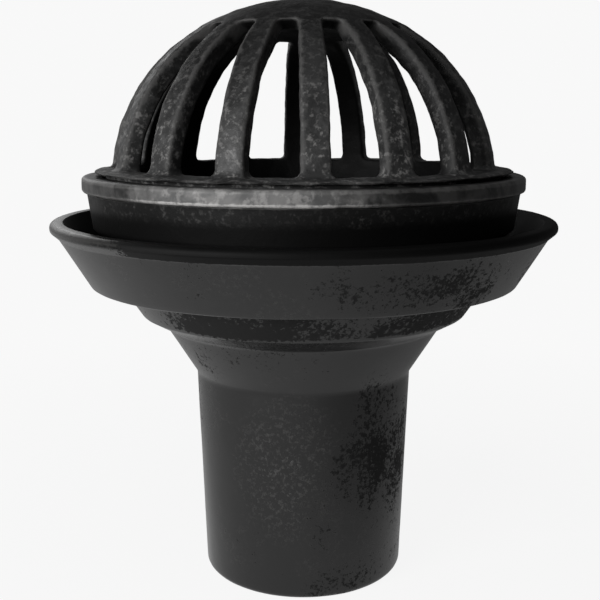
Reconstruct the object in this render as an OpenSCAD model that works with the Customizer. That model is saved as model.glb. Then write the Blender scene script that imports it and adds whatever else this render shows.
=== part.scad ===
// Flat roof drain: a cast body with a flared flashing bowl and a plain outlet,
// a clamp ring with a gravel stop bolted inside the bowl, and a slotted dome
// strainer that rests on the ring. Origin at the middle of the outlet's end, +Z up.

/* [Outlet] */
// Bore of the outlet
bore_d = 101.6; // [96:0.2:104]
// Outside diameter of the outlet at its end
outlet_d = 116.8; // [114:0.2:122]
// Length of the outlet below the throat cone
outlet_h = 119.4; // [80:0.2:180]
// Draft of the outlet's outside, in degrees
outlet_draft = 1.95; // [0:0.05:2.5]
// Rounding of the outlet's end
outlet_round = 3.6; // [1:0.1:4]

/* [Body] */
// Height of the throat cone
throat_h = 27.9; // [20:0.1:40]
// Outside diameter at the top of the throat cone
throat_d = 159.8; // [150:0.2:166]
// Rise of the shoulder between the throat and the sump wall
shoulder_h = 7.3; // [4:0.1:12]
// Outside diameter at the foot of the sump wall
sump_d = 186.4; // [180:0.2:190]
// Height of the sump wall
sump_h = 17.6; // [14:0.1:24]
// Outward lean of the sump wall, in degrees
sump_lean = 34; // [30:0.5:36]
// Width of the ledge under the clamp seat
ledge_w = 15.9; // [14:0.1:19]
// Height of the flared wall from the ledge to the lip
flare_h = 27.6; // [22:0.1:34]
// Outward lean of the flared wall, in degrees
flare_lean = 31.4; // [30:0.1:38]
// Thickness of the walls, measured level
wall_w = 8.6; // [6:0.1:9]
// Thickness of the floors, measured upright
floor_t = 8.8; // [7:0.1:11]
// How far the lip stands out from the flared wall
lip_out = 4.3; // [3:0.1:8]
// Height of the lip
lip_h = 8.2; // [7.6:0.1:14]
// Rise of the lip's underside from the flared wall to its edge
lip_rise = 3.7; // [2:0.1:4]
// Rounding of the lip's upper edge
lip_round = 3; // [1:0.1:3.5]

/* [Clamp bolts] */
// Shank diameter of a clamp bolt
bolt_d = 10; // [8:0.5:10.5]
// Length of a clamp bolt under its head
bolt_len = 25; // [22:0.5:27]
// Size of the hexagon head across its flats
head_af = 17; // [15:0.5:18]
// Height of the hexagon head
head_h = 6.4; // [5:0.1:8]
// Washer diameter
washer_d = 20; // [19:0.5:21]
// Washer thickness
washer_t = 2; // [1.5:0.1:2.5]
// Radius of the bosses and ears round the bolts
ear_r = 11; // [10.5:0.1:12]
// Distance of the bolts inside the sump's mouth
bolt_inset = 5.6; // [4:0.1:7]

/* [Clamp ring] */
// Height of the clamp ring
ring_h = 51.4; // [46:0.1:60]
// Height of the band round the top of the ring
band_h = 8.8; // [6:0.1:14]
// How far the band stands out from the ring's wall
band_out = 2.6; // [1.5:0.1:4]
// Thickness of the ring's wall
ring_wall = 9; // [6:0.1:10]
// Inward draft of the ring's wall, in degrees
ring_draft = 8; // [4:0.1:9]
// Height of the corner where the ring turns in to its foot
knee_h = 22.8; // [20:0.1:26]
// Height of the upright foot of the ring
foot_h = 13.8; // [11:0.1:15]
// Thickness of the ring's clamp flange
flange_t = 8; // [6:0.1:9]
// Room between a washer and the foot of the ring's wall
washer_gap = 1; // [0.5:0.1:2]
// Thickness of the foot of the ring
foot_wall = 6.5; // [5:0.1:8]

/* [Dome strainer] */
// Outside diameter of the dome at its spring line
dome_d = 215.4; // [204:0.2:222]
// Distance of the centres of the dome's side arcs from the axis
side_inset = 10.2; // [4:0.2:16]
// Angle to which the side arcs rise before the crown arc takes over, in degrees
side_a = 55.2; // [50:0.1:62]
// Thickness of the dome, which is the depth of its ribs
dome_t = 9.6; // [8:0.1:11]
// Number of ribs
rib_count = 16; // [12:1:18]
// Width of a rib at its foot
rib_foot_w = 15; // [12:0.1:17]
// Width of a rib where it meets the cap
rib_top_w = 12; // [9:0.1:13]
// Radius of the cap at the ends of the slots
cap_r = 57; // [50:0.5:62]
// Fall of the slot ends towards the inside, in degrees
slot_end_fall = 22; // [10:1:30]
// Fillet at the foot of each rib
foot_fillet = 4.5; // [2:0.1:5]
// Angle at which the dome sits in the ring
dome_turn = 3; // [0:0.5:22]
// Thickness of the rim flange at its edge
rim_t = 1.7; // [1.5:0.1:3]
// Rise of the rim flange from its edge to the ribs
rim_rise = 0.8; // [0.4:0.1:2]
// How far the rim flange reaches over the ring's mouth
rim_over = 3.9; // [3:0.1:6]
// Height of the resting pads under the rim flange
pad_h = 1.4; // [0.5:0.1:3]
// Width of a resting pad
pad_w = 14; // [8:0.5:20]
// Number of resting pads
pad_count = 4; // [3:1:6]
// Depth of the locating skirt below the rim flange
skirt_h = 13; // [8:0.5:18]
// How far the skirt stands out from the dome's foot
skirt_out = 2.6; // [1.5:0.1:3]
// How far the spring line lies below the rim flange
spring_drop = 7.3; // [4:0.1:7.8]
// Diameter of the pip on the crown
pip_d = 7; // [5:0.5:12]
// Height of the pip on the crown
pip_h = 0.8; // [0.4:0.1:2]

/* [Clearances] */
// Room round the dome's skirt inside the ring
skirt_gap = 2.1; // [1:0.1:3]
// Room round a bolt in a hole of the ring
hole_gap = 0.5; // [0.3:0.1:1]
// Room round a bolt in its boss
thread_gap = 0.3; // [0.2:0.05:0.4]

/* [Hidden] */

$fn = 96;
bolt_count = 4;
bolt_turn = 45;
edge_round = 1;
bolt_chamfer = 1;
head_chamfer = 0.4;
tap_run = 3;
flange_reach = 2;
cut_past = 5;
skirt_room = 4;
pad_inset = 0.6;
seat_fillet = 3;
neck_fillet = 6;
iron = [0.14, 0.14, 0.15];
steel = [0.42, 0.42, 0.43];

// Heights of the body, from the outlet's end up
neck_z = outlet_h;
throat_z = neck_z + throat_h;
sump_z = throat_z + shoulder_h;
ledge_z = sump_z + sump_h;
seat_z = ledge_z + floor_t;
lip_z = ledge_z + flare_h;
rim_z = lip_z + lip_h;

// Outside radii of the body at those heights
outlet_r = outlet_d / 2;
neck_r = outlet_r + outlet_h * tan(outlet_draft);
throat_r = throat_d / 2;
sump_r = sump_d / 2;
sump_top_r = sump_r + sump_h * tan(sump_lean);
ledge_r = sump_top_r + ledge_w;
lip_r = ledge_r + flare_h * tan(flare_lean);
rim_r = lip_r + lip_out;

// Inside of the body, a wall's thickness within the outside
bore_r = bore_d / 2;
mouth_r = sump_top_r - wall_w;
sump_in_r = sump_r - wall_w;
sump_in_z = sump_z + floor_t / 2;
throat_in_r = throat_r - wall_w;
throat_in_z = throat_z + floor_t / 4;
throat_slope = throat_h / (throat_r - neck_r);
bore_top_z = throat_in_z - (throat_in_r - bore_r) * throat_slope;
flare_in_r = ledge_r - wall_w;
seat_r = flare_in_r + floor_t * tan(flare_lean);
rim_in_r = flare_in_r + (rim_z - ledge_z) * tan(flare_lean);

// Clamp bolts, on a circle just inside the sump's mouth
bolt_r = mouth_r - bolt_inset;
hole_r = bolt_d / 2 + hole_gap;
tapped_r = bolt_d / 2 + thread_gap;
flange_z = seat_z + flange_t;
head_z = flange_z + washer_t;
tapped_h = bolt_len - flange_t - washer_t + tap_run;

// Dome: its skirt stands in the ring and its rim flange lies over the ring's mouth
dome_r = dome_d / 2;
skirt_r = dome_r + skirt_out;
ring_in_r = skirt_r + skirt_gap;
ring_top_z = seat_z + ring_h;
rim_under_z = ring_top_z + pad_h;
dome_rim_r = ring_in_r + rim_over;
rim_top_z = rim_under_z + rim_t;
slot_z = rim_top_z + rim_rise * 0.75;
skirt_z = rim_under_z - skirt_h;
spring_z = rim_under_z - spring_drop;

// The dome's three-centred arch: two side arcs and a flatter crown arc, tangent
side_r = dome_r - side_inset;
crown_r = side_r + side_inset / cos(side_a);
crown_y = spring_z - side_inset * tan(side_a);
crown_z = crown_y + crown_r;

// Slots of the dome
rib_pitch = 360 / rib_count;
cheek_a = atan2((rib_foot_w - rib_top_w) / 2, dome_r - cap_r);
slot_end_z = crown_y + sqrt(crown_r ^ 2 - cap_r ^ 2);
slot_in_r = cap_r - 1.6 * dome_t;
slot_out_r = dome_rim_r + cut_past;

// Clamp ring
wall_r = ring_in_r + ring_wall;
band_r = wall_r + band_out;
band_z = ring_top_z - band_h;
knee_z = seat_z + knee_h;
foot_z = seat_z + foot_h;
knee_r = wall_r - (band_z - knee_z) * tan(ring_draft);
foot_r = bolt_r + washer_d / 2 + washer_gap + foot_wall;
foot_in_r = foot_r - foot_wall;
knee_in_r = knee_r - foot_wall;
knee_step = foot_wall * 0.4;
flange_in_r = mouth_r - flange_reach;
band_round = 2.4;
band_foot_round = 2;

// Points of an arc that rounds the corner b between a and c
function unit(v) = v / norm(v);
function flat_point(p) = [p[0], p[1]];
function corner(a, b, c, radius) =
    let (u = unit(a - b), v = unit(c - b))
    let (half = acos(u * v) / 2)
    let (o = b + unit(u + v) * radius / sin(half))
    let (p = b + u * radius / tan(half) - o)
    let (start = atan2(p[1], p[0]))
    let (turn = (180 - 2 * half) * sign(u[1] * v[0] - u[0] * v[1]))
    let (steps = max(2, ceil(abs(turn) / 11)))
    [for (i = [0:steps]) o + radius * [cos(start + turn * i / steps), sin(start + turn * i / steps)]];

// An outline whose points are [x, y, rounding radius]
function rounded(points) =
    let (n = len(points))
    [for (i = [0:n - 1])
        let (a = flat_point(points[(i + n - 1) % n]))
        let (b = flat_point(points[i]))
        let (c = flat_point(points[(i + 1) % n]))
        let (radius = points[i][2])
        each radius > 0 ? corner(a, b, c, radius) : [b]];

module around(count, turn = 0) {
    for (i = [0:count - 1]) {
        rotate([0, 0, turn + i * 360 / count]) children();
    }
}

// Plan of the lug round a bolt: a round nose that runs out to the wall
module lug_plan(reach) {
    translate([bolt_r, 0]) circle(ear_r);
    translate([bolt_r, -ear_r]) square([reach - bolt_r, 2 * ear_r]);
}

// Body: one casting from the lip to the outlet
module body_wall() {
    rotate_extrude() polygon(rounded([
        [bore_r, 0, edge_round],
        [outlet_r, 0, outlet_round],
        [neck_r, neck_z, neck_fillet],
        [throat_r, throat_z, 2],
        [sump_r, sump_z, 2.5],
        [sump_top_r, ledge_z, seat_fillet],
        [ledge_r, ledge_z, 2],
        [lip_r, lip_z, 1.5],
        [rim_r, lip_z + lip_rise, 1.5],
        [rim_r, rim_z, lip_round],
        [rim_in_r, rim_z, edge_round],
        [seat_r, seat_z, seat_fillet],
        [mouth_r, seat_z, edge_round],
        [mouth_r, ledge_z, seat_fillet],
        [sump_in_r, sump_in_z, seat_fillet],
        [throat_in_r, throat_in_z, seat_fillet],
        [bore_r, bore_top_z, neck_fillet]
    ]));
}

// Everything inside the middle of the body's wall, which the bolt bosses fill
module boss_room() {
    rotate_extrude() polygon([
        [0, throat_z],
        [throat_in_r + wall_w / 2, throat_z + floor_t / 8],
        [sump_in_r + wall_w / 2, sump_z + floor_t / 4],
        [mouth_r + wall_w / 2, ledge_z],
        [mouth_r + wall_w / 2, seat_z],
        [0, seat_z]
    ]);
}

module drain_body() {
    color(iron) difference() {
        union() {
            body_wall();
            intersection() {
                boss_room();
                around(bolt_count, bolt_turn)
                    translate([0, 0, throat_z]) linear_extrude(seat_z - throat_z) lug_plan(mouth_r + wall_w);
            }
        }
        around(bolt_count, bolt_turn)
            translate([bolt_r, 0, seat_z - tapped_h]) cylinder(r = tapped_r, h = tapped_h + 1);
    }
}

// Clamp ring: foot flange with bolt ears, a knee, and a wall up to the gravel band
module ring_wall_section() {
    polygon(rounded([
        [flange_in_r, seat_z, 0],
        [foot_r, seat_z, edge_round],
        [foot_r, foot_z, seat_fillet],
        [knee_r, knee_z, 1.5],
        [wall_r, band_z, 0],
        [band_r, band_z, band_foot_round],
        [band_r, ring_top_z, band_round],
        [ring_in_r, ring_top_z, edge_round],
        [ring_in_r, ring_top_z - skirt_h - skirt_room, 0],
        [knee_in_r, knee_z + knee_step, 0],
        [foot_in_r, foot_z + knee_step, seat_fillet],
        [foot_in_r, flange_z, 0.8],
        [flange_in_r, flange_z, edge_round]
    ]));
}

module clamp_ring() {
    color(iron) difference() {
        union() {
            rotate_extrude() ring_wall_section();
            around(bolt_count, bolt_turn)
                translate([0, 0, seat_z]) linear_extrude(flange_t) lug_plan(foot_in_r + foot_wall / 2);
        }
        around(bolt_count, bolt_turn)
            translate([bolt_r, 0, seat_z - 1]) cylinder(r = hole_r, h = flange_t + 2);
    }
}

// Area under the dome's arch, drawn in by an inset
module arch(inset) {
    far = 2 * dome_d;
    translate([side_inset, spring_z]) circle(side_r - inset);
    intersection() {
        translate([0, crown_y]) circle(crown_r - inset);
        translate([0, crown_y]) polygon([[0, 0], far * [cos(side_a), sin(side_a)], [0, far]]);
    }
}

// Rim flange, rising from its edge into the foot of the shell
module rim_flange_section() {
    root_r = dome_r - dome_t / 2;
    root_rise = rim_rise * (dome_rim_r - root_r) / (dome_rim_r - dome_r);
    polygon(rounded([
        [root_r, rim_under_z, 0],
        [dome_rim_r, rim_under_z, 0.5],
        [dome_rim_r, rim_top_z, 0.5],
        [root_r, rim_top_z + root_rise, 0]
    ]));
}

// Half section of the dome before its slots are cut: shell, skirt and rim flange
module dome_section() {
    difference() {
        union() {
            intersection() {
                arch(0);
                translate([0, spring_z]) square([dome_d, dome_d]);
            }
            translate([0, skirt_z]) square([skirt_r, rim_under_z + rim_t / 2 - skirt_z]);
            rim_flange_section();
        }
        intersection() {
            arch(dome_t);
            translate([0, spring_z]) square([dome_d, dome_d]);
        }
        translate([0, skirt_z - 1]) square([dome_r - dome_t, spring_z - skirt_z + 1]);
        translate([-dome_d, skirt_z]) square([dome_d, dome_d]);
    }
}

function rib_half(r) = (rib_top_w + (rib_foot_w - rib_top_w) * (r - cap_r) / (dome_r - cap_r)) / 2;
function turned(p, a) = [p[0] * cos(a) - p[1] * sin(a), p[0] * sin(a) + p[1] * cos(a)];

// Fillet left standing at the foot of one rib's cheek, its two feathered edges just under the surfaces
module foot_bar() {
    f = foot_fillet;
    sunk = 0.1;
    hollow = [for (a = [0:15:90]) [f * (1 - sin(a)) - sunk, f * (1 - cos(a)) - sunk]];
    outline = concat([[f - sunk, -1]], hollow, [[-1, f - sunk], [-1, -1]]);
    translate([cap_r, rib_half(cap_r), slot_z]) rotate([0, 0, cheek_a]) rotate([90, 0, 90])
        linear_extrude(slot_out_r - cap_r + cut_past) polygon(outline);
}

// What is cut away between one rib and the next
module slot() {
    difference() {
        intersection() {
            translate([0, 0, slot_z]) linear_extrude(crown_z - slot_z) polygon([
                [slot_in_r, rib_half(slot_in_r)],
                [slot_out_r, rib_half(slot_out_r)],
                turned([slot_out_r, -rib_half(slot_out_r)], rib_pitch),
                turned([slot_in_r, -rib_half(slot_in_r)], rib_pitch)
            ]);
            rotate_extrude() polygon([
                [0, slot_z - 1],
                [slot_out_r + 1, slot_z - 1],
                [slot_out_r + 1, slot_end_z + (slot_out_r + 1 - cap_r) * tan(slot_end_fall)],
                [0, slot_end_z - cap_r * tan(slot_end_fall)]
            ]);
        }
        foot_bar();
        rotate([0, 0, rib_pitch]) mirror([0, 1, 0]) foot_bar();
    }
}

module pads() {
    pad_in_r = ring_in_r + edge_round;
    translate([0, 0, ring_top_z]) linear_extrude(pad_h + rim_t / 2) intersection() {
        difference() {
            circle(dome_rim_r - pad_inset);
            circle(pad_in_r);
        }
        around(pad_count, rib_pitch)
            translate([0, -pad_w / 2]) square([dome_rim_r, pad_w]);
    }
}

module strainer_dome() {
    color(iron) rotate([0, 0, dome_turn - 90]) {
        difference() {
            rotate_extrude() dome_section();
            around(rib_count) slot();
        }
        pads();
        translate([0, 0, crown_z - 1]) cylinder(d = pip_d, h = 1 + pip_h);
    }
}

// Hexagon bolt, its head chamfered round the top
module clamp_bolt(number) {
    corner_r = head_af / 2 / cos(30);
    color(steel) rotate([0, 0, bolt_turn + (number - 1) * 360 / bolt_count]) translate([bolt_r, 0, head_z]) {
        intersection() {
            cylinder(r = corner_r, h = head_h, $fn = 6);
            cylinder(r1 = corner_r + 2 * head_h, r2 = head_af / 2 - head_chamfer, h = head_h);
        }
        translate([0, 0, bolt_chamfer - bolt_len]) cylinder(d = bolt_d, h = bolt_len - bolt_chamfer + 1);
        translate([0, 0, -bolt_len])
            cylinder(d1 = bolt_d - 2 * bolt_chamfer, d2 = bolt_d, h = bolt_chamfer);
    }
}

module washer(number) {
    color(steel) rotate([0, 0, bolt_turn + (number - 1) * 360 / bolt_count])
        translate([bolt_r, 0, flange_z]) difference() {
            cylinder(d = washer_d, h = washer_t);
            translate([0, 0, -1]) cylinder(r = hole_r, h = washer_t + 2);
        }
}

drain_body();
clamp_ring();
strainer_dome();
clamp_bolt(1);  // clamp_bolt_1
clamp_bolt(2);  // clamp_bolt_2
clamp_bolt(3);  // clamp_bolt_3
clamp_bolt(4);  // clamp_bolt_4
washer(1);  // washer_1
washer(2);  // washer_2
washer(3);  // washer_3
washer(4);  // washer_4
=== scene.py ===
"""Flat roof drain: a black-coated cast-iron body, a clamp ring and a slotted dome strainer.

Everything is in metres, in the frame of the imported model: +Z up, the outlet's end on the floor.
"""

import math

import bmesh
import bpy
from mathutils import Matrix, Vector, noise


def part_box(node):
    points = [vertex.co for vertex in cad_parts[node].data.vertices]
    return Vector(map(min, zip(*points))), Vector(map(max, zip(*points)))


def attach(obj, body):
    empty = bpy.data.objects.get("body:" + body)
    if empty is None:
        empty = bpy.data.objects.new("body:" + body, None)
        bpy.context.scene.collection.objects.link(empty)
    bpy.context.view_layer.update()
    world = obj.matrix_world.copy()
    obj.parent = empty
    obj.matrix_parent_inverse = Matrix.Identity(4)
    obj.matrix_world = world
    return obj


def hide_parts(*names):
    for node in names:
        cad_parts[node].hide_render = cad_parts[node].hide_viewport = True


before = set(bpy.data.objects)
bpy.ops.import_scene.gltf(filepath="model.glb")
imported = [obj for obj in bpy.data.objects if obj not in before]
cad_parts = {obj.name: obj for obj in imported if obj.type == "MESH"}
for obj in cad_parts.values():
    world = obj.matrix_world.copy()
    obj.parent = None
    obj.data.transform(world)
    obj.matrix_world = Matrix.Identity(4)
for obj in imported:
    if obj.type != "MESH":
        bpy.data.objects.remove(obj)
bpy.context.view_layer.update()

MM = 0.001
_, body_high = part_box("drain_body")
ring_low, ring_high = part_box("clamp_ring")
dome_low, dome_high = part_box("strainer_dome")
bolt_low, bolt_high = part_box("clamp_bolt_1")
washer_low, washer_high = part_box("washer_1")

# ---------------------------------------------------------------- sizes of the castings

# Body, from the outlet's end up
bore_r = 50.8 * MM
outlet_r = 58.4 * MM
neck_r, neck_z = 62.47 * MM, 119.4 * MM
throat_r, throat_z = 79.9 * MM, 147.3 * MM
sump_r, sump_z = 93.2 * MM, 154.6 * MM
sump_top_r, ledge_z = 105.07 * MM, 172.2 * MM
ledge_r = 120.97 * MM
lip_r, lip_z = 137.82 * MM, 199.8 * MM
lip_rise = 3.7 * MM
wall_w = 8.6 * MM
floor_t = 8.8 * MM
rim_r, rim_z = body_high.x, body_high.z
flare_slope = (lip_r - ledge_r) / (lip_z - ledge_z)
seat_z = ring_low.z
mouth_r = sump_top_r - wall_w
sump_in_r, sump_in_z = sump_r - wall_w, sump_z + floor_t / 2
throat_in_r, throat_in_z = throat_r - wall_w, throat_z + floor_t / 4

# Roundings of the body and the ring
crisp_round = 1 * MM
fillet = 3 * MM
throat_fillet = 6 * MM
outlet_end_round = 3.6 * MM
sump_foot_round = 2.5 * MM
ledge_round = 2 * MM
lip_round = 1.5 * MM
knee_round = 1.5 * MM
band_groove_round = 0.6 * MM
band_foot_round = 2 * MM
band_top_round = 2.4 * MM
flange_foot_round = 0.5 * MM
flange_edge_round = 0.8 * MM

# Clamp bolts, their washers and the lugs round them
bolt_count = 4
bolt_turn = math.radians(45)
bolt_r = mouth_r - 5.6 * MM
bolt_d = 10 * MM
thread_gap = 0.3 * MM
head_af = 17 * MM
head_z = washer_high.z
washer_d = 20 * MM
head_crown_inset = 0.4 * MM
shank_chamfer = 1 * MM
hole_r = 5.5 * MM
lug_r = 11 * MM
tapped_h = 18 * MM

# Clamp ring
ring_top_z = ring_high.z
band_r = ring_high.x
band_h = 8.8 * MM
# How far the band's rubbed and lit side leans to the left, toward the lamp
rub_and_light_lean = 0.25
band_z = ring_top_z - band_h
wall_r = band_r - 2.6 * MM
ring_in_r = wall_r - 9 * MM
knee_r, knee_z = 118.62 * MM, seat_z + 22.8 * MM
foot_wall = 6.5 * MM
foot_r, foot_z = bolt_r + washer_d / 2 + 1 * MM + foot_wall, seat_z + 13.8 * MM
flange_z = washer_low.z
flange_in_r = mouth_r - 2 * MM
lining_h = 17 * MM
inner_rise = foot_wall * 0.4

# Dome strainer
rib_count = 16
dome_turn = math.radians(3 - 90)
dome_rim_r = ring_in_r + 3.9 * MM
dome_r = 107.7 * MM
dome_t = 9.6 * MM
side_inset = 10.2 * MM
side_angle = math.radians(55.2)
side_r = dome_r - side_inset
crown_r = side_r + side_inset / math.cos(side_angle)
pip_r, pip_h = 3.5 * MM, 0.8 * MM
crown_z = dome_high.z - pip_h
crown_y = crown_z - crown_r
spring_z = crown_y + side_inset * math.tan(side_angle)
skirt_r, skirt_z = dome_r + 2.6 * MM, dome_low.z
pad_h, pad_w = 1.4 * MM, 14 * MM
pad_count = 4
rim_under_z = ring_top_z + pad_h
rim_t = 1.7 * MM
slot_z = rim_under_z + 2.3 * MM
cap_r = 57 * MM
slot_end_slope = math.tan(math.radians(22))
slot_end_z = crown_y + math.sqrt(crown_r ** 2 - cap_r ** 2)
rib_foot_w, rib_top_w = 15 * MM, 12 * MM
slot_foot_round, slot_top_round = 3.2 * MM, 2.4 * MM
slot_foot_h = 5 * MM
rib_edge_round = 1.7 * MM
rim_chamfer = 0.5 * MM
skirt_chamfer = 1 * MM
root_chamfer = 0.8 * MM
rib_root_r, rib_root_z = dome_r + 3.6 * MM, slot_z - 0.15 * MM

# The dome's cage: columns from one rib to the next, those of half a rib, and rows of a slot and of the cap
columns = 8
half_rib = 2
slot_rows, cap_rows = 26, 10
outer_row, inner_row = 100, 200

# Steps of the body's and the ring's outlines, and of their turn
body_step, body_turns = 3 * MM, 240
ring_step, ring_turns = 2 * MM, 288

# Sand-cast unevenness: the size and height of each wave
body_waves = [(40 * MM, 0.3 * MM), (9 * MM, 0.12 * MM)]
ring_waves = [(22 * MM, 0.3 * MM), (5 * MM, 0.2 * MM)]
dome_waves = [(18 * MM, 0.9 * MM), (7 * MM, 0.7 * MM), (3 * MM, 0.3 * MM)]

# Small lengths: how near counts as touching, how far joined shapes overlap and how far cutters run past
near = 0.01 * MM
overlap = 0.05 * MM
overrun = 1 * MM
weld, sliver = 0.002 * MM, 0.001 * MM

# ---------------------------------------------------------------- shaping


def tangent_length(before, at, after, radius):
    """How far from a corner a rounding of that radius starts."""
    half = (before - at).angle(after - at) / 2
    return radius / math.tan(half)


def section(corners):
    """Closed outline in the XZ plane whose corners are (radius, height, rounding)."""
    bm = bmesh.new()
    points = [Vector((r, 0, z)) for r, z, _ in corners]
    verts = [bm.verts.new(p) for p in points]
    bm.faces.new(verts)
    for i, (_, _, rounding) in enumerate(corners):
        if rounding > 0:
            after = points[(i + 1) % len(points)]
            length = tangent_length(points[i - 1], points[i], after, rounding)
            bmesh.ops.bevel(bm, geom=[verts[i]], offset=length, offset_type="OFFSET", affect="VERTICES",
                            segments=6, profile=0.5, material=-1, clamp_overlap=False)
    bmesh.ops.delete(bm, geom=bm.faces[:], context="FACES_ONLY")
    return bm


def refine(bm, step):
    """Cuts the outline's long edges into steps."""
    for edge in bm.edges[:]:
        cuts = math.ceil(edge.calc_length() / step) - 1
        if cuts > 0:
            bmesh.ops.subdivide_edges(bm, edges=[edge], cuts=cuts)


def turn_round(bm, steps):
    """Spins an outline all the way round the vertical axis into a closed skin."""
    bmesh.ops.spin(bm, geom=bm.verts[:] + bm.edges[:], axis=(0, 0, 1), cent=(0, 0, 0),
                   angle=2 * math.pi, steps=steps, use_merge=True)
    bmesh.ops.remove_doubles(bm, verts=bm.verts[:], dist=weld)
    bmesh.ops.recalc_face_normals(bm, faces=bm.faces[:])
    return bm


def turn(bm, verts, angle):
    """Turns points about the vertical axis."""
    bmesh.ops.rotate(bm, verts=verts, cent=(0, 0, 0), matrix=Matrix.Rotation(angle, 3, "Z"))


def round_edges(bm, edges, offset, segments, clamp=False):
    """Rounds edges, or chamfers them with one segment."""
    bmesh.ops.bevel(bm, geom=edges, offset=offset, offset_type="OFFSET", affect="EDGES", segments=segments,
                    profile=0.5, material=-1, clamp_overlap=clamp)


def as_object(name, bm):
    """The bmesh as an object of the scene; the bmesh is let go."""
    mesh = bpy.data.meshes.new(name)
    bm.to_mesh(mesh)
    bm.free()
    thing = bpy.data.objects.new(name, mesh)
    bpy.context.scene.collection.objects.link(thing)
    return thing


def shaped(thing):
    """The object's mesh with its modifiers applied, as a bmesh, with the object cleared away."""
    bpy.context.view_layer.update()
    seen = thing.evaluated_get(bpy.context.evaluated_depsgraph_get())
    done = bpy.data.meshes.new_from_object(seen)
    out = bmesh.new()
    out.from_mesh(done)
    bpy.data.objects.remove(thing)
    bpy.data.meshes.remove(done)
    return out


def joined(bm, *steps):
    """Adds, cuts or keeps the common part: each step is (operation, bmesh)."""
    work = as_object("work", bm)
    tools = []
    for operation, tool_bm in steps:
        tool = as_object("tool", tool_bm)
        tools.append(tool)
        step = work.modifiers.new("step", "BOOLEAN")
        step.operation = operation
        step.solver = "EXACT"
        step.object = tool
    out = shaped(work)
    for tool in tools:
        bpy.data.objects.remove(tool)
    bmesh.ops.dissolve_degenerate(out, edges=out.edges[:], dist=sliver)
    bmesh.ops.recalc_face_normals(out, faces=out.faces[:])
    return out


def smoothed(bm, levels):
    """The mesh after a subdivision surface."""
    work = as_object("work", bm)
    surface = work.modifiers.new("surface", "SUBSURF")
    surface.levels = levels
    surface.render_levels = levels
    return shaped(work)


def turned_copies(bm, count, start):
    """The shape turned to its start, then copies of it evenly round the vertical axis."""
    turn(bm, bm.verts[:], start)
    first = bm.verts[:] + bm.edges[:] + bm.faces[:]
    for i in range(1, count):
        copy = bmesh.ops.duplicate(bm, geom=first)["geom"]
        turn(bm, [g for g in copy if isinstance(g, bmesh.types.BMVert)], 2 * math.pi * i / count)
    return bm


def rod(radius, low, high, steps=48, top_radius=None):
    """Upright cylinder or cone at the bolt circle."""
    bm = bmesh.new()
    bmesh.ops.create_cone(bm, cap_ends=True, segments=steps, radius1=radius,
                          radius2=radius if top_radius is None else top_radius, depth=high - low)
    bmesh.ops.translate(bm, verts=bm.verts[:], vec=(bolt_r, 0, (low + high) / 2))
    return bm


def lug(reach, low, high, rounding):
    """Lug round a bolt: a round nose that runs out to the wall."""
    bm = bmesh.new()
    nose = bmesh.ops.create_circle(bm, segments=48, radius=lug_r)["verts"]
    bmesh.ops.translate(bm, verts=nose, vec=(bolt_r, 0, low))
    for vert in nose:
        if vert.co.x > bolt_r + near:
            vert.co.x = reach
            vert.co.y = math.copysign(lug_r, vert.co.y) if abs(vert.co.y) > near else 0
    bmesh.ops.remove_doubles(bm, verts=bm.verts[:], dist=near)
    floor = bmesh.ops.contextual_create(bm, geom=bm.edges[:])["faces"]
    raised = bmesh.ops.extrude_face_region(bm, geom=floor)["geom"]
    top = [g for g in raised if isinstance(g, bmesh.types.BMVert)]
    bmesh.ops.translate(bm, verts=top, vec=(0, 0, high - low))
    bmesh.ops.recalc_face_normals(bm, faces=bm.faces[:])
    if rounding > 0:
        rim = [e for e in bm.edges if all(v.co.z > high - near for v in e.verts)]
        round_edges(bm, rim, rounding, segments=3, clamp=True)
    return bm


def cast_skin(bm, waves, top, lean, still=()):
    """Moves the skin by a shallow unevenness, as a sand casting has.

    Lean is how far in the skin lies on the whole, as a share of each wave. The top is never passed, and the
    stretches of height in still stay flat.
    """
    moves = []
    for vert in bm.verts:
        depth = sum(height * (0.5 * noise.noise(vert.co / size) - lean) for size, height in waves)
        depth = min(depth, max(0.0, top - vert.co.z))
        for low, high in still:
            if low <= vert.co.z <= high:
                depth = 0.0
        moves.append((vert, vert.normal * depth))
    for vert, move in moves:
        vert.co += move
    bm.normal_update()


def mark_edges(bm):
    """Writes how proud each point stands, 0 in the flat and hollow places and 1 on an outer edge."""
    gain, floor = 1.6, 0.1
    proud = bm.verts.layers.float.new("proud")
    for vert in bm.verts:
        bend = sum(e.calc_face_angle_signed(0.0) for e in vert.link_edges if len(e.link_faces) == 2)
        vert[proud] = min(1.0, max(0.0, gain * bend - floor))


def mark_inside(bm):
    """Writes how far each point faces the axis, or the dome's middle: 0 outside and 1 on an inner wall."""
    gain = 2
    inner = bm.verts.layers.float.new("inner")
    for vert in bm.verts:
        out = Vector((vert.co.x, vert.co.y, vert.co.z - spring_z if vert.co.z > spring_z else 0))
        vert[inner] = min(1.0, max(0.0, -vert.normal.dot(out.normalized()) * gain))


def finish_piece(name, bm, node, sharp=38):
    """Makes the piece from its mesh, in the place of a CAD node; edges sharper than given stay sharp."""
    mark_edges(bm)
    mark_inside(bm)
    piece = as_object(name, bm)
    for polygon in piece.data.polygons:
        polygon.use_smooth = True
    piece.data.set_sharp_from_angle(angle=math.radians(sharp))
    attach(piece, "root")
    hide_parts(node)
    return piece


# ---------------------------------------------------------------- body


def body_room():
    """Room inside the middle of the body's wall, which the bolt bosses fill."""
    top_z = seat_z - overlap
    bm = section([
        (0, throat_z, 0),
        (throat_in_r + wall_w / 2, throat_z + floor_t / 8, 0),
        (sump_in_r + wall_w / 2, sump_z + floor_t / 4, 0),
        (mouth_r + wall_w / 2, ledge_z, 0),
        (mouth_r + wall_w / 2, top_z, 0),
        (0, top_z, 0),
    ])
    return turn_round(bm, steps=96)


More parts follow.
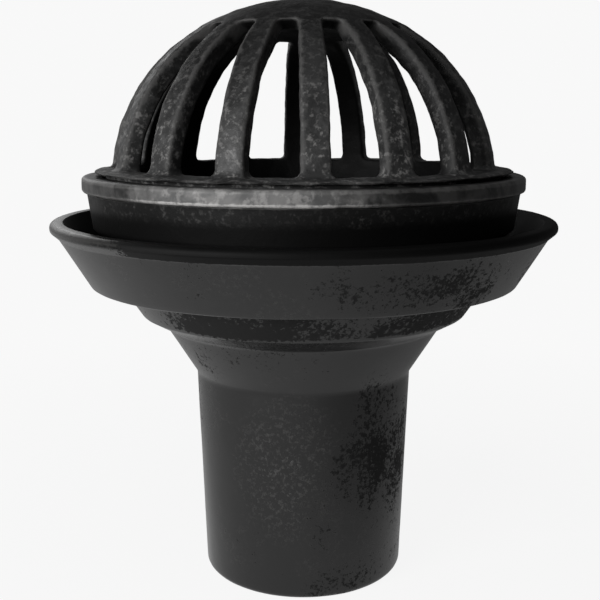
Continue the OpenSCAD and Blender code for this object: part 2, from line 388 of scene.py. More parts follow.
def build_body():
    """The body: a spun wall, with four bosses inside the sump and a bolt hole in each."""
    flare_in_r = ledge_r - wall_w
    seat_r = flare_in_r + floor_t * flare_slope
    rim_in_r = flare_in_r + (rim_z - ledge_z) * flare_slope
    bore_top_z = throat_in_z - (throat_in_r - bore_r) * (throat_z - neck_z) / (throat_r - neck_r)
    bm = section([
        (bore_r, 0, crisp_round),
        (outlet_r, 0, outlet_end_round),
        (neck_r, neck_z, throat_fillet),
        (throat_r, throat_z, throat_fillet),
        (sump_r, sump_z, sump_foot_round),
        (sump_top_r, ledge_z, fillet),
        (ledge_r, ledge_z, ledge_round),
        (lip_r, lip_z, lip_round),
        (rim_r, lip_z + lip_rise, lip_round),
        (rim_r, rim_z, fillet),
        (rim_in_r, rim_z, crisp_round),
        (seat_r, seat_z, fillet),
        (mouth_r, seat_z, crisp_round),
        (mouth_r, ledge_z, fillet),
        (sump_in_r, sump_in_z, fillet),
        (throat_in_r, throat_in_z, fillet),
        (bore_r, bore_top_z, throat_fillet),
    ])
    refine(bm, body_step)
    turn_round(bm, body_turns)
    cut_z = seat_z + overrun
    bosses = turned_copies(lug(mouth_r + wall_w, throat_z, cut_z, 0), bolt_count, bolt_turn)
    bosses = joined(bosses, ("INTERSECT", body_room()))
    holes = turned_copies(rod(bolt_d / 2 + thread_gap, seat_z - tapped_h, cut_z), bolt_count, bolt_turn)
    bm = joined(bm, ("UNION", bosses), ("DIFFERENCE", holes))
    bm.normal_update()
    cast_skin(bm, body_waves, rim_z, lean=0.5, still=[(-1, overlap)])
    return finish_piece("body_casting", bm, "drain_body")


# ---------------------------------------------------------------- clamp ring


def build_ring():
    """The ring: band, drafted wall, knee and foot, and four ears that the bolts hold down."""
    knee_in_r = knee_r - foot_wall
    foot_in_r = foot_r - foot_wall
    bm = section([
        (flange_in_r, seat_z, flange_foot_round),
        (foot_r, seat_z, crisp_round),
        (foot_r, foot_z, fillet),
        (knee_r, knee_z, knee_round),
        (wall_r, band_z, band_groove_round),
        (band_r, band_z, band_foot_round),
        (band_r, ring_top_z, band_top_round),
        (ring_in_r, ring_top_z, crisp_round),
        (ring_in_r, ring_top_z - lining_h, fillet),
        (knee_in_r, knee_z + inner_rise, fillet),
        (foot_in_r, foot_z + inner_rise, fillet),
        (foot_in_r, flange_z, flange_edge_round),
        (flange_in_r, flange_z, crisp_round),
    ])
    refine(bm, ring_step)
    turn_round(bm, ring_turns)
    ear = lug(foot_in_r + foot_wall / 2, seat_z + overlap, flange_z - overlap, flange_edge_round)
    ears = turned_copies(ear, bolt_count, bolt_turn)
    holes = turned_copies(rod(hole_r, seat_z - overrun, flange_z + overrun), bolt_count, bolt_turn)
    bm = joined(bm, ("UNION", ears), ("DIFFERENCE", holes))
    bm.normal_update()
    cast_skin(bm, ring_waves, ring_top_z, lean=0.5, still=[(seat_z - overrun, seat_z + 2 * near)])
    return finish_piece("ring_casting", bm, "clamp_ring")


# ---------------------------------------------------------------- bolts and washers


def bolt_angle(number):
    return bolt_turn + (number - 1) * 2 * math.pi / bolt_count


def build_bolt(number):
    """Hexagon bolt, its head chamfered round the top and its plain shank at the end."""
    corner_r = head_af / 2 / math.cos(math.radians(30))
    head = rod(corner_r, head_z, bolt_high.z, steps=6)
    crown_foot_r, crown_top_r = corner_r + 2 * (bolt_high.z - head_z), head_af / 2 - head_crown_inset
    crown = rod(crown_foot_r, head_z, bolt_high.z, steps=96, top_radius=crown_top_r)
    shank = rod(bolt_d / 2, bolt_low.z, head_z + overrun)
    end = [e for e in shank.edges if all(v.co.z < bolt_low.z + near for v in e.verts)]
    round_edges(shank, end, shank_chamfer, segments=1, clamp=True)
    bm = joined(head, ("INTERSECT", crown), ("UNION", shank))
    turn(bm, bm.verts[:], bolt_angle(number))
    bmesh.ops.recalc_face_normals(bm, faces=bm.faces[:])
    return finish_piece(f"bolt_{number}", bm, f"clamp_bolt_{number}", sharp=20)


def build_washer(number):
    """Plain washer, a little rounder at its outer edges than round the hole."""
    bm = section([
        (hole_r, flange_z, 0.2 * MM),
        (washer_d / 2, flange_z, 0.3 * MM),
        (washer_d / 2, head_z, 0.5 * MM),
        (hole_r, head_z, 0.2 * MM),
    ])
    turn_round(bm, steps=64)
    bmesh.ops.translate(bm, verts=bm.verts[:], vec=(bolt_r, 0, 0))
    turn(bm, bm.verts[:], bolt_angle(number))
    return finish_piece(f"flat_washer_{number}", bm, f"washer_{number}")


# ---------------------------------------------------------------- dome strainer


def arch_line(inset, start_angle, end_angle, count):
    """Points along the dome's arch, evenly spaced, from the side arc over to the crown arc."""
    side, crown = side_r - inset, crown_r - inset
    side_length = side * (side_angle - start_angle)
    crown_length = crown * (end_angle - side_angle)
    points = []
    for i in range(count + 1):
        along = (side_length + crown_length) * i / count
        if along < side_length:
            angle = start_angle + along / side
            points.append((side_inset + side * math.cos(angle), spring_z + side * math.sin(angle)))
        else:
            angle = side_angle + (along - side_length) / crown
            points.append((crown * math.cos(angle), crown_y + crown * math.sin(angle)))
    return points


def rib_half(r):
    """Half the width of a rib at that distance from the axis."""
    share = (r - cap_r) / (dome_r - cap_r)
    return (rib_top_w + (rib_foot_w - rib_top_w) * share) / 2


def slot_end_angle(inset):
    """Where the slots' sloping end meets an arch, as an angle at the crown arc's centre."""
    crown = crown_r - inset
    low, high = side_angle, math.pi / 2
    halvings = 40
    for _ in range(halvings):
        angle = (low + high) / 2
        slope_z = slot_end_z + (crown * math.cos(angle) - cap_r) * slot_end_slope
        gap = crown_y + crown * math.sin(angle) - slope_z
        low, high = (angle, high) if gap < 0 else (low, angle)
    return (low + high) / 2


def build_dome():
    """The dome's cage: a spun shell whose columns follow the ribs, with the slots cut through."""
    pitch = 2 * math.pi / rib_count
    around = rib_count * columns
    bm = bmesh.new()
    row = bm.verts.layers.int.new("row")

    outer_start = math.asin((slot_z - spring_z) / side_r)
    inner_start = math.asin((slot_z - spring_z) / (side_r - dome_t))
    outer = arch_line(0, outer_start, slot_end_angle(0), slot_rows)
    inner = arch_line(dome_t, inner_start, slot_end_angle(dome_t), slot_rows)
    pip_angle = math.acos(pip_r / crown_r)
    line = []
    last = slot_end_angle(dome_t)
    for i in range(cap_rows, 0, -1):
        angle = last + (math.pi / 2 - last) * i / cap_rows
        crown = crown_r - dome_t
        line.append((crown * math.cos(angle), crown_y + crown * math.sin(angle), 0))
    line += [(r, z, inner_row + i) for i, (r, z) in reversed(list(enumerate(inner)))]
    line += [
        (dome_r - dome_t, spring_z, 0),
        (dome_r - dome_t, skirt_z + skirt_chamfer, 0),
        (dome_r - dome_t + skirt_chamfer, skirt_z, 0),
        (skirt_r - skirt_chamfer, skirt_z, 0),
        (skirt_r, skirt_z + skirt_chamfer, 0),
        (skirt_r, rim_under_z - root_chamfer, 0),
        (skirt_r + root_chamfer, rim_under_z, 0),
        (dome_rim_r - rim_chamfer, rim_under_z, 0),
        (dome_rim_r, rim_under_z + rim_chamfer, 0),
        (dome_rim_r, rim_under_z + rim_t - rim_chamfer, 0),
        (dome_rim_r - rim_chamfer, rim_under_z + rim_t, 0),
        (rib_root_r, rib_root_z, 0),
    ]
    line += [(r, z, outer_row + i) for i, (r, z) in enumerate(outer)]
    first = slot_end_angle(0)
    for i in range(1, cap_rows + 1):
        angle = first + (pip_angle - first) * i / cap_rows
        line.append((crown_r * math.cos(angle), crown_y + crown_r * math.sin(angle), 0))
    line += [
        (pip_r - 0.2 * MM, crown_z + pip_h * 0.7, 0),
        (pip_r - 0.7 * MM, crown_z + pip_h, 0),
        (0, crown_z + pip_h, 0),
    ]

    verts = []
    for r, z, tag in line:
        vert = bm.verts.new((r, 0, z))
        vert[row] = tag
        verts.append(vert)
    for a, b in zip(verts, verts[1:]):
        bm.edges.new((a, b))
    turn_round(bm, around)

    # Rib and slot widths follow the distance from the axis
    column = {}
    for vert in bm.verts:
        r = math.hypot(vert.co.x, vert.co.y)
        if r < near:
            continue
        step = round(math.atan2(vert.co.y, vert.co.x) / (2 * math.pi) * around) % around
        rib, offset = divmod(step + half_rib, columns)
        offset -= half_rib
        edge = math.asin(rib_half(max(r, cap_r)) / max(r, cap_r))
        if offset <= half_rib:
            angle = offset / half_rib * edge
        else:
            angle = edge + (offset - half_rib) / (columns - 2 * half_rib) * (pitch - 2 * edge)
        angle += rib * pitch
        vert.co.x, vert.co.y = r * math.cos(angle), r * math.sin(angle)
        column[vert] = (rib % rib_count, offset)

    # Slots: the cells between the ribs are opened and their edges joined through the wall
    cells = {}
    last_column = columns - half_rib - 1
    for face in bm.faces:
        tags = [v[row] for v in face.verts]
        if min(tags) < outer_row or max(tags) - min(tags) > 1:
            continue
        places = [column[v] for v in face.verts]
        offsets = sorted(o for _, o in places)
        if offsets[0] == -half_rib and offsets[-1] == last_column:
            rib = [k for k, o in places if o == last_column][0]
            cells.setdefault(rib, []).append(face)
        elif offsets[0] >= half_rib:
            cells.setdefault(places[0][0], []).append(face)
    doomed = [f for faces in cells.values() for f in faces]
    loops = {}
    for rib, faces in cells.items():
        chosen = set(faces)
        loops[rib] = [e for e in {e for f in faces for e in f.edges}
                      if sum(f in chosen for f in e.link_faces) == 1]
    bmesh.ops.delete(bm, geom=doomed, context="FACES")
    for rib in sorted(loops):
        bmesh.ops.bridge_loops(bm, edges=[e for e in loops[rib] if e.is_valid])
    bmesh.ops.recalc_face_normals(bm, faces=bm.faces[:])
    return bm


def slot_edges(bm, hollow):
    """The slots' inner corners and the creases at the ribs' feet, or the slots' outer edges."""
    limit = math.radians(30)
    low, high = slot_z - 1 * MM, crown_z - 1 * MM
    chosen = []
    for edge in bm.edges:
        heights = [v.co.z for v in edge.verts]
        if len(edge.link_faces) == 2 and min(heights) > low and max(heights) < high:
            angle = edge.calc_face_angle_signed()
            if (angle < -limit) if hollow else (angle > limit):
                chosen.append(edge)
    return chosen


def resting_pads():
    """Pads under the rim flange, on which the dome rests on the ring."""
    low_r, high_r = ring_in_r + 1 * MM, dome_rim_r - 0.6 * MM
    half = math.asin(pad_w / 2 / high_r)
    bm = section([
        (low_r, ring_top_z, 0),
        (high_r, ring_top_z, 0),
        (high_r, rim_under_z + rim_t / 2, 0),
        (low_r, rim_under_z + rim_t / 2, 0),
    ])
    bmesh.ops.contextual_create(bm, geom=bm.edges[:])
    turn(bm, bm.verts[:], -half)
    bmesh.ops.spin(bm, geom=bm.verts[:] + bm.edges[:] + bm.faces[:], axis=(0, 0, 1), cent=(0, 0, 0),
                   angle=2 * half, steps=6, use_merge=False)
    bmesh.ops.recalc_face_normals(bm, faces=bm.faces[:])
    return turned_copies(bm, pad_count, 2 * math.pi / rib_count)


def build_dome_piece():
    """The dome: its cage with rounded slots and ribs, smoothed once, on four pads."""
    bm = build_dome()
    bm.normal_update()
    corners = slot_edges(bm, hollow=True)
    foot_top = slot_z + slot_foot_h
    low = [e for e in corners if max(v.co.z for v in e.verts) < foot_top]
    high = [e for e in corners if max(v.co.z for v in e.verts) >= foot_top]
    round_edges(bm, low, slot_foot_round, segments=3)
    round_edges(bm, high, slot_top_round, segments=3)
    bm.normal_update()
    round_edges(bm, slot_edges(bm, hollow=False), rib_edge_round, segments=2)
    bm = smoothed(bm, levels=1)
    bm = joined(bm, ("UNION", resting_pads()))
    turn(bm, bm.verts[:], dome_turn)
    bm.normal_update()
    cast_skin(bm, dome_waves, dome_high.z, lean=0, still=[(ring_top_z - 2 * near, ring_top_z + 2 * near)])
    return finish_piece("dome_casting", bm, "strainer_dome", sharp=60)


body = build_body()
ring = build_ring()
dome = build_dome_piece()
bolts = [build_bolt(i + 1) for i in range(bolt_count)]
washers = [build_washer(i + 1) for i in range(bolt_count)]

# ---------------------------------------------------------------- finishes


def put(tree, kind, values=None, **settings):
    """New node; values are sockets to join or plain numbers, by the input's name or number."""
    made = tree.nodes.new(kind)
    for name, value in settings.items():
        setattr(made, name, value)
    for key, value in (values or {}).items():
        if isinstance(value, bpy.types.NodeSocket):
            tree.links.new(value, made.inputs[key])
        else:
            made.inputs[key].default_value = value
    return made


def maths(tree, operation, a, b, clamp=False):
    return put(tree, "ShaderNodeMath", {0: a, 1: b}, operation=operation, use_clamp=clamp).outputs[0]


def product(tree, first, *others):
    for other in others:
        first = maths(tree, "MULTIPLY", first, other)
    return first


def total(tree, first, *others):
    for other in others:
        first = maths(tree, "ADD", first, other)
    return first


def rest_of(tree, share):
    """What a share leaves of one."""
    return maths(tree, "SUBTRACT", 1.0, share)


def ramp(tree, value, start, stop, low=0.0, high=1.0, soft=False):
    """Number that goes from low to high while the value goes from start to stop."""
    ends = {"Value": value, "From Min": start, "From Max": stop, "To Min": low, "To Max": high}
    kind = "SMOOTHSTEP" if soft else "LINEAR"
    return put(tree, "ShaderNodeMapRange", ends, interpolation_type=kind).outputs[0]


def blend(tree, share, low, high):
    """Number between low and high."""
    return put(tree, "ShaderNodeMix", {"Factor": share, 2: low, 3: high}).outputs[0]


def tint(tree, share, low, high):
    """Colour between low and high."""
    low, high = [value if isinstance(value, bpy.types.NodeSocket) else (*value, 1) for value in (low, high)]
    return put(tree, "ShaderNodeMix", {"Factor": share, 6: low, 7: high}, data_type="RGBA").outputs[2]


def grey(value, warm=0.0):
    return (value * (1 + warm), value, value * (1 - warm))


def cloud(tree, place, scale, detail, roughness, distortion=0.0):
    """Noise from 0 to 1; the scale is how many waves go in a metre."""
    return put(tree, "ShaderNodeTexNoise", {"Vector": place, "Scale": scale, "Detail": detail,
                                            "Roughness": roughness, "Distortion": distortion}).outputs[0]


def split(tree, vector):
    return put(tree, "ShaderNodeSeparateXYZ", {0: vector}).outputs


def new_group(name, inputs, outputs):
    """Empty node group with number or vector inputs (name, default) and number outputs."""
    tree = bpy.data.node_groups.new(name, "ShaderNodeTree")
    for label, default in inputs:
        kind = "NodeSocketVector" if default is None else "NodeSocketFloat"
        socket = tree.interface.new_socket(label, in_out="INPUT", socket_type=kind)
        if default is not None:
            socket.default_value = default
    for label in outputs:
        tree.interface.new_socket(label, in_out="OUTPUT", socket_type="NodeSocketFloat")
    return tree, tree.nodes.new("NodeGroupInput").outputs, tree.nodes.new("NodeGroupOutput").inputs


def cast_grain_group():
    """Sand-cast grain: a fine height, bright specks, slow patches and the slow noise they come from."""
    coarser, coarse_share = 0.38, 0.55
    tree, given, result = new_group("cast_grain", [("Place", None), ("Grain", 700.0), ("Patches", 40.0)],
                                    ["Height", "Specks", "Patches", "Slow"])
    fine = cloud(tree, given["Place"], given["Grain"], detail=3.0, roughness=0.6)
    coarse_scale = maths(tree, "MULTIPLY", given["Grain"], coarser)
    coarse = cloud(tree, given["Place"], coarse_scale, detail=2.0, roughness=0.5)
    height = blend(tree, coarse_share, fine, coarse)
    slow = cloud(tree, given["Place"], given["Patches"], detail=4.0, roughness=0.6, distortion=0.5)
    for label, value in (("Height", height), ("Specks", ramp(tree, height, 0.5, 0.64, soft=True)),
                         ("Patches", ramp(tree, slow, 0.44, 0.6, soft=True)), ("Slow", slow)):
        tree.links.new(value, result[label])
    return tree


def edge_wear_group():
    """Where the coating is rubbed thin along outer edges, broken up by a noise."""
    tree, given, result = new_group("edge_wear", [("Place", None), ("Proud", 0.0), ("Size", 300.0)], ["Wear"])
    broken = cloud(tree, given["Place"], given["Size"], detail=3.0, roughness=0.6)
    wear = ramp(tree, maths(tree, "MULTIPLY", given["Proud"], broken), 0.12, 0.45, soft=True)
    tree.links.new(wear, result["Wear"])
    return tree


def between_heights_group():
    """Mask of the stretch between two heights, with soft ends."""
    tree, given, result = new_group(
        "between_heights", [("Place", None), ("Low", 0.0), ("High", 1.0), ("Soft", 0.001)], ["Mask"])
    height = split(tree, given["Place"])["Z"]
    ends = []
    for label, first, last in (("Low", 0.0, 1.0), ("High", 1.0, 0.0)):
        start = maths(tree, "SUBTRACT", given[label], given["Soft"])
        stop = maths(tree, "ADD", given[label], given["Soft"])
        ends.append(ramp(tree, height, start, stop, first, last, soft=True))
    tree.links.new(maths(tree, "MULTIPLY", *ends), result["Mask"])
    return tree


cast_grain = cast_grain_group()
edge_wear = edge_wear_group()
between_heights = between_heights_group()


def group(tree, which, values):
    return put(tree, "ShaderNodeGroup", values, node_tree=which).outputs


def grain_of(tree, place, grain, patches):
    return group(tree, cast_grain, {"Place": place, "Grain": grain, "Patches": patches})


def wear_of(tree, place, proud, size):
    return group(tree, edge_wear, {"Place": place, "Proud": proud, "Size": size})["Wear"]


def between(tree, place, low, high, soft):
    return group(tree, between_heights, {"Place": place, "Low": low, "High": high, "Soft": soft})["Mask"]


def inner_walls(tree):
    """How far the surface is an inner wall, as written on the mesh."""
    return put(tree, "ShaderNodeAttribute", attribute_name="inner").outputs["Fac"]


def new_finish(name):
    material = bpy.data.materials.new(name)
    material.use_nodes = True
    tree = material.node_tree
    place = put(tree, "ShaderNodeTexCoord").outputs["Object"]
    proud = put(tree, "ShaderNodeAttribute", attribute_name="proud").outputs["Fac"]
    return material, tree, tree.nodes["Principled BSDF"], place, proud


def finish_cast(tree, shader, colour, rough, heights, depths):
    """Joins colour, roughness and one bump on another to the coating."""
    tree.links.new(colour, shader.inputs["Base Color"])
    tree.links.new(rough, shader.inputs["Roughness"])
    normal = None
    for height, depth in zip(heights, depths):
        bump = put(tree, "ShaderNodeBump", {"Height": height, "Strength": 1.0, "Distance": depth})
        if normal is not None:
            tree.links.new(normal, bump.inputs["Normal"])
        normal = bump.outputs[0]
    tree.links.new(normal, shader.inputs["Normal"])


def matt_coat(tree, shader, share, colour, gloss):
    """Mixes a dull coat with little gloss over the shader, by the share given."""
    dryness = 0.62
    matt = put(tree, "ShaderNodeBsdfPrincipled", {"Base Color": colour, "Roughness": dryness,
                                                  "Specular IOR Level": gloss})
    tree.links.new(shader.inputs["Normal"].links[0].from_socket, matt.inputs["Normal"])
    both = put(tree, "ShaderNodeMixShader", {0: share, 1: shader.outputs[0], 2: matt.outputs[0]})
    tree.links.new(both.outputs[0], tree.nodes["Material Output"].inputs["Surface"])


def blot(tree, place, centre, half):
    """Soft oval given in X and Z, in millimetres: 1 in its middle and 0 at its edge."""
    parts = split(tree, place)
    across = maths(tree, "DIVIDE", maths(tree, "SUBTRACT", parts["X"], centre[0] * MM), half[0] * MM)
    up = maths(tree, "DIVIDE", maths(tree, "SUBTRACT", parts["Z"], centre[1] * MM), half[1] * MM)
    spread = maths(tree, "ADD", maths(tree, "MULTIPLY", across, across), maths(tree, "MULTIPLY", up, up))
    return maths(tree, "SUBTRACT", 1.0, spread, clamp=True)


def body_finish():
    """Smooth black coating, sandy low on the outlet, and rubbed lighter along the lip only on its lit left: wear
    and painted highlight.

    Over it lies a dark matt coat: painted shade everywhere inside, on the lip away from the lit left and speckled
    on the sump's wall under the ledge; and a dry coat in ragged patches right of the middle.
    """
    coating, sand, rubbed_iron_highlight = grey(0.005), grey(0.032, 0.02), grey(0.03, 0.03)
    # Matt coat colours: the dry coat, also the painted shade on the sump's wall, and the painted shade inside and
    # on the lip
    dry_coat_and_shade, painted_shade_inside = grey(0.009), grey(0.0015)
    smooth, sandy_rough, rubbed_rough = 0.24, 0.42, 0.4
    sand_depth, smooth_share, dry_and_shade_gloss = 0.09 * MM, 0.12, 0.12
    sandy_place, sandy_half = (-6, 76), (38, 50)
    bowl_place, bowl_half = (44, 187), (100, 18)
    outlet_place, outlet_half = (38, 84), (26, 54)

    material, tree, shader, place, proud = new_finish("black_coating")
    inside = inner_walls(tree)
    grain = grain_of(tree, place, grain=1100.0, patches=26.0)
    slow = grain_of(tree, place, grain=300.0, patches=14.0)
    wear = wear_of(tree, place, proud, size=240.0)
    lip = between(tree, place, lip_z + 0.6 * MM, 1.0, 0.6 * MM)
    sump = between(tree, place, sump_z + 1.5 * MM, ledge_z - 1 * MM, 1.2 * MM)
    # The left, where the light falls: the lip's rubbed lighter edges are kept to it as painted highlight
    left = ramp(tree, split(tree, place)["X"], -50 * MM, -100 * MM)

    sandy = blot(tree, place, sandy_place, sandy_half)
    specked = maths(tree, "MAXIMUM", product(tree, grain["Patches"], 0.35), sandy)
    specked = product(tree, grain["Specks"], specked)
    rubbed = product(tree, wear, lip, left)
    colour = tint(tree, specked, coating, sand)
    # Wear on the lip's edges, lighter only on the lit left: painted highlight
    colour = tint(tree, product(tree, rubbed, 0.5), colour, rubbed_iron_highlight)
    rough = blend(tree, rubbed, blend(tree, specked, smooth, sandy_rough), rubbed_rough)
    depth = product(tree, grain["Height"], blend(tree, specked, smooth_share, 1.0))
    finish_cast(tree, shader, colour, rough, [depth], [sand_depth])

    # Matt coat: painted shade inside, along the lip away from the lit left and speckled on the sump's wall under
    # the ledge, thinner on the lit left; a dry coat in ragged patches right of the middle
    dry = total(tree, product(tree, blot(tree, place, bowl_place, bowl_half), 0.23),
                product(tree, blot(tree, place, outlet_place, outlet_half), 0.25))
    # Painted shade: the lip away from the lit left, and the inner walls
    dull = maths(tree, "MAXIMUM", product(tree, lip, rest_of(tree, left)), inside)
    ragged = product(tree, maths(tree, "SUBTRACT", grain["Height"], 0.5), 0.9)
    level = total(tree, slow["Slow"], -0.14, dry, product(tree, sump, 0.22), product(tree, dull, 0.75),
                  product(tree, left, -0.15), ragged)
    matt_coat(tree, shader, ramp(tree, level, 0.49, 0.59, soft=True), tint(tree, dull, dry_coat_and_shade, painted_shade_inside),
              dry_and_shade_gloss)
    return material


def rubbed_lit_side(tree, place):
    """Mask of the side of the ring, toward the front and a little to the left, where the band is rubbed and lit:
    wear with painted highlight.
    """
    parts = split(tree, place)
    ragged = cloud(tree, place, 70.0, detail=4.0, roughness=0.65)
    toward = maths(tree, "SUBTRACT", maths(tree, "MULTIPLY", parts["X"], -rub_and_light_lean), parts["Y"])
    share = total(tree, maths(tree, "DIVIDE", toward, band_r), product(tree, ragged, 0.24))
    return ramp(tree, share, 1.0, 1.12, soft=True)


def ring_finish():
    """Coarser black casting with lighter grainy specks high on its wall as painted light and painted shade below,
    whose band is rubbed to a lighter, rougher grey on the side toward the lamp: wear with painted highlight.
    """
    coating, painted_light_grey, dull_speck = grey(0.004), grey(0.11, 0.02), grey(0.034, 0.02)
    rubbed_lit_low, rubbed_lit_high, wear_and_highlight_edge = grey(0.06), grey(0.24, 0.02), grey(0.45, 0.02)
    painted_shade_wall, dark_gloss = (*grey(0.002), 1), 0.1
    grain_depth = 0.16 * MM

    material, tree, shader, place, proud = new_finish("banded_casting")
    grain = grain_of(tree, place, grain=900.0, patches=60.0)
    slow = grain_of(tree, place, grain=420.0, patches=30.0)
    wear = wear_of(tree, place, proud, size=420.0)
    # Side of the band toward the lamp: lighter as rub and painted highlight
    side = rubbed_lit_side(tree, place)
    band = between(tree, place, band_z - 0.3 * MM, ring_top_z + 2 * MM, 0.5 * MM)
    upper = between(tree, place, band_z - 9 * MM, band_z + 1 * MM, 3 * MM)
    foot_edge = between(tree, place, band_z - 1 * MM, band_z + 2.4 * MM, 0.8 * MM)

    # Painted light: lighter grainy specks high on the wall, where light reaches over the lip
    painted_light_upper = product(tree, upper, blend(tree, grain["Patches"], 0.35, 1.0))
    wall = tint(tree, product(tree, grain["Specks"], painted_light_upper), coating, painted_light_grey)
    dull = tint(tree, grain["Patches"], coating, dull_speck)
    cloudy = total(tree, product(tree, slow["Specks"], 0.55), product(tree, slow["Patches"], 0.45))
    # The band's rubbed colour, laid on the side toward the lamp: wear with painted highlight; the other side
    # keeps the dull coating
    rubbed = tint(tree, cloudy, rubbed_lit_low, rubbed_lit_high)
    colour = tint(tree, band, wall, tint(tree, side, dull, rubbed))
    # Painted highlight, with wear: a bright line along the band's lower edge on its lit side
    edge = product(tree, wear, blend(tree, product(tree, side, foot_edge), 0.1, 0.95))
    colour = tint(tree, edge, colour, wear_and_highlight_edge)
    rough = blend(tree, band, blend(tree, painted_light_upper, 0.28, 0.5), blend(tree, side, 0.45, 0.62))
    finish_cast(tree, shader, colour, rough, [grain["Height"]], [grain_depth])
    # Painted shade: the wall under the band is matt black, most in the gap behind the lip
    matt_share = product(tree, rest_of(tree, band), blend(tree, upper, 0.97, 0.7))
    matt_coat(tree, shader, matt_share, painted_shade_wall, dark_gloss)
    return material


def dome_finish():
    """Black casting, smooth on the crown and lighter and grainier low on the ribs, partly grain and partly
    painted light; painted light on the slots' upper ends and matt black painted shade inside.
    """
    crown_dark, crown_light = grey(0.006), grey(0.012)
    foot_dark, foot_light = grey(0.022), grey(0.05)
    speck, worn, painted_light_grey = grey(0.16, 0.02), grey(0.08, 0.02), grey(0.06, 0.02)
    painted_shade_inside, dark_gloss = (*grey(0.002), 1), 0.2
    crown_rough, foot_rough, mottled_rough, edge_rough = 0.42, 0.58, 0.64, 0.8
    mottle_depth, grain_depth = 0.45 * MM, 0.26 * MM
    foot_low_z, foot_high_z = rim_under_z - 20 * MM, 277 * MM
    slot_top_z = 304 * MM

    material, tree, shader, place, proud = new_finish("dome_casting_black")
    grain = grain_of(tree, place, grain=750.0, patches=55.0)
    mottle = grain_of(tree, place, grain=330.0, patches=22.0)
    inside = inner_walls(tree)
    wear = product(tree, wear_of(tree, place, proud, size=420.0), rest_of(tree, inside))
    # Lighter low on the ribs: grain, and painted light where the lower ribs catch the light
    foot = between(tree, place, foot_low_z, foot_high_z, 26 * MM)

    amount = product(tree, foot, blend(tree, grain["Patches"], 0.5, 1.0))
    base = tint(tree, mottle["Specks"], tint(tree, amount, crown_dark, foot_dark),
                tint(tree, amount, crown_light, foot_light))
    specked = product(tree, grain["Specks"], blend(tree, amount, 0.15, 1.0))
    colour = tint(tree, specked, base, speck)
    colour = tint(tree, product(tree, wear, 0.45), colour, worn)

    # Painted light on the slots' upper ends, which face out and down toward the light from below, and not on the
    # cap above them
    facing = split(tree, put(tree, "ShaderNodeTexCoord").outputs["Normal"])["Z"]
    down = ramp(tree, facing, 0.35, 0.05)
    ends = between(tree, place, slot_top_z, crown_z, 2 * MM)
    colour = tint(tree, product(tree, down, ends), colour, painted_light_grey)
    rough = blend(tree, mottle["Specks"], blend(tree, amount, crown_rough, foot_rough), mottled_rough)
    rough = blend(tree, proud, rough, edge_rough)
    finish_cast(tree, shader, colour, rough, [mottle["Height"], grain["Height"]], [mottle_depth, grain_depth])
    # Painted shade: the inner walls are matt black
    matt_coat(tree, shader, inside, painted_shade_inside, dark_gloss)
    return material


def zinc_finish(name, shade, rough_low, rough_high):
    """Dull zinc plating with faint cloudiness and rubbed edges."""
    darker, brighter, metal = 0.8, 1.4, 0.9
    grain_depth = 0.03 * MM
    material, tree, shader, place, proud = new_finish(name)
    grain = grain_of(tree, place, grain=1500.0, patches=260.0)
    wear = wear_of(tree, place, proud, size=500.0)
    colour = tint(tree, grain["Patches"], grey(shade * darker, -0.01), grey(shade, -0.02))
    colour = tint(tree, wear, colour, grey(shade * brighter))
    rough = blend(tree, grain["Patches"], rough_low, rough_high)
    shader.inputs["Metallic"].default_value = metal
    finish_cast(tree, shader, colour, rough, [grain["Height"]], [grain_depth])
    return material


bolt_zinc = zinc_finish("bolt_zinc", shade=0.32, rough_low=0.32, rough_high=0.46)
washer_zinc = zinc_finish("washer_zinc", shade=0.36, rough_low=0.4, rough_high=0.52)
body.data.materials.append(body_finish())
ring.data.materials.append(ring_finish())
dome.data.materials.append(dome_finish())
for bolt in bolts:
    bolt.data.materials.append(bolt_zinc)
for washer in washers:
    washer.data.materials.append(washer_zinc)

# ---------------------------------------------------------------- floor, light and camera

pale = 0.94
floor_r = 0.95
near_lift = 1.04
glow_left, glow_right = 0.38, 0.11
glow_near = 1.5
glow_behind = 0.55
room_light, room_gloss = 0.04, 0.02
camera_place = (-0.0020, -0.5547, 0.2656)
camera_dip = 10.91
camera_lens = 58.0


def clear_rays(tree, path):
    """Rays from the camera, or on their way through something clear."""
    return maths(tree, "MAXIMUM", path["Is Camera Ray"], path["Is Transmission Ray"])


def floor_finish():
    """Pale matt floor that the camera sees as near white, with the object's shadow left in the middle.

    To the drain it glows softly: more on the left and close by, less on the right and behind.
    """
    material = bpy.data.materials.new("floor_white")
    material.use_nodes = True
    tree = material.node_tree
    tree.nodes.clear()
    place = put(tree, "ShaderNodeTexCoord").outputs["Object"]
    path = put(tree, "ShaderNodeLightPath").outputs
    parts = split(tree, place)
    grain = put(tree, "ShaderNodeTexNoise", {"Vector": place, "Scale": 60.0}).outputs[0]
    matt = put(tree, "ShaderNodeBsdfDiffuse", {"Color": tint(tree, grain, grey(0.78), grey(0.82))})

    away = put(tree, "ShaderNodeVectorMath", {0: place}, operation="LENGTH").outputs["Value"]
    seen = ramp(tree, away, 0.2, 0.6, 0.92, 1.0)
    lift = ramp(tree, away, 0.2, 0.6, near_lift, 1.0)
    glow = put(tree, "ShaderNodeEmission", {"Color": (pale, pale, pale, 1), "Strength": lift})

    across = ramp(tree, parts["X"], 0.0, 0.18, glow_left, glow_right)
    back = ramp(tree, parts["Y"], -0.05, 0.25, 1.0, glow_behind)
    close = ramp(tree, away, 0.09, 0.28, glow_near, 1.0)
    glowing = product(tree, across, back, close, rest_of(tree, path["Is Camera Ray"]))
    share = maths(tree, "MAXIMUM", product(tree, clear_rays(tree, path), seen), glowing)
    mix = put(tree, "ShaderNodeMixShader", {0: share, 1: matt.outputs[0], 2: glow.outputs[0]})
    put(tree, "ShaderNodeOutputMaterial", {"Surface": mix.outputs[0]})
    return material


def build_floor():
    bm = bmesh.new()
    bmesh.ops.create_circle(bm, cap_ends=True, segments=128, radius=floor_r)
    floor = as_object("floor", bm)
    floor.data.materials.append(floor_finish())


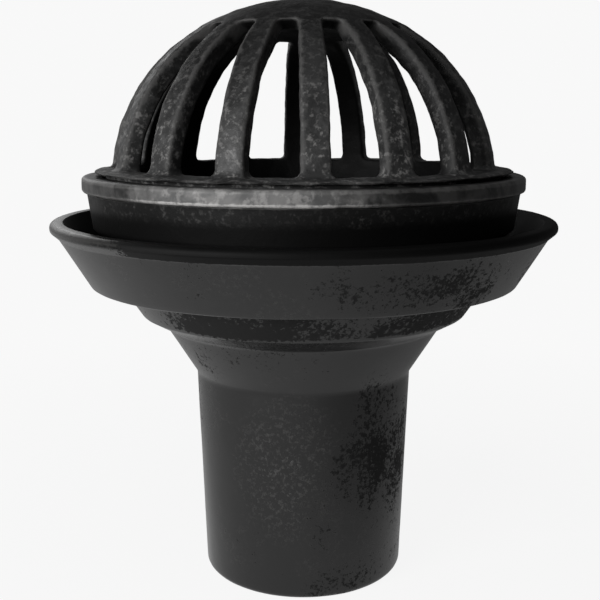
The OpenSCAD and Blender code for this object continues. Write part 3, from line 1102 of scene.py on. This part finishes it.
def build_world():
    """White all round for the camera; for gloss a pale backdrop behind, brighter on the left, and a dark room."""
    world = bpy.data.worlds.new("studio")
    bpy.context.scene.world = world
    world.use_nodes = True
    tree = world.node_tree
    tree.nodes.clear()
    way = split(tree, put(tree, "ShaderNodeTexCoord").outputs["Generated"])
    path = put(tree, "ShaderNodeLightPath").outputs
    behind = ramp(tree, way["Y"], -0.1, 0.4, soft=True)
    low = ramp(tree, way["Z"], 0.2, 0.7, 1.0, 0.0)
    side = ramp(tree, way["X"], -0.3, 0.3, 0.5, 0.1)
    backdrop = product(tree, product(tree, behind, low), product(tree, side, path["Is Glossy Ray"]))
    seen = maths(tree, "MAXIMUM", clear_rays(tree, path), backdrop)
    dim, dark, white = [put(tree, "ShaderNodeBackground", {"Color": (*grey(shade), 1)}).outputs[0]
                        for shade in (room_light, room_gloss, pale)]
    room = put(tree, "ShaderNodeMixShader", {0: path["Is Glossy Ray"], 1: dim, 2: dark})
    mix = put(tree, "ShaderNodeMixShader", {0: seen, 1: room.outputs[0], 2: white})
    put(tree, "ShaderNodeOutputWorld", {"Surface": mix.outputs[0]})


def softbox(name, azimuth, height, distance, aim_z, size, power):
    """Soft lamp at an azimuth round the drain: 0 is in front, toward -Y, and -90 the left."""
    data = bpy.data.lights.new(name, "AREA")
    data.shape = "RECTANGLE"
    data.size, data.size_y = size
    data.energy = power
    angle = math.radians(azimuth)
    lamp = bpy.data.objects.new(name, data)
    lamp.location = (distance * math.sin(angle), -distance * math.cos(angle), height)
    lamp.rotation_euler = (Vector((0, 0, aim_z)) - lamp.location).to_track_quat("-Z", "Y").to_euler()
    bpy.context.scene.collection.objects.link(lamp)


def build_camera():
    data = bpy.data.cameras.new("camera")
    data.sensor_width = 36
    data.lens = camera_lens
    data.clip_start = 0.01
    camera = bpy.data.objects.new("camera", data)
    camera.location = camera_place
    camera.rotation_euler = (math.radians(90 - camera_dip), 0, 0)
    bpy.context.scene.collection.objects.link(camera)
    bpy.context.scene.camera = camera


build_floor()
build_world()
softbox("key_softbox", azimuth=-41, height=0.45, distance=1.3, aim_z=0.22, size=(0.8, 0.36), power=16)
softbox("top_softbox", azimuth=15, height=1.4, distance=0.35, aim_z=0.25, size=(1.1, 1.1), power=2.2)
softbox("back_softbox", azimuth=-145, height=0.7, distance=1.2, aim_z=0.22, size=(0.7, 0.5), power=1.4)
build_camera()
bpy.context.scene.view_settings.view_transform = "Standard"
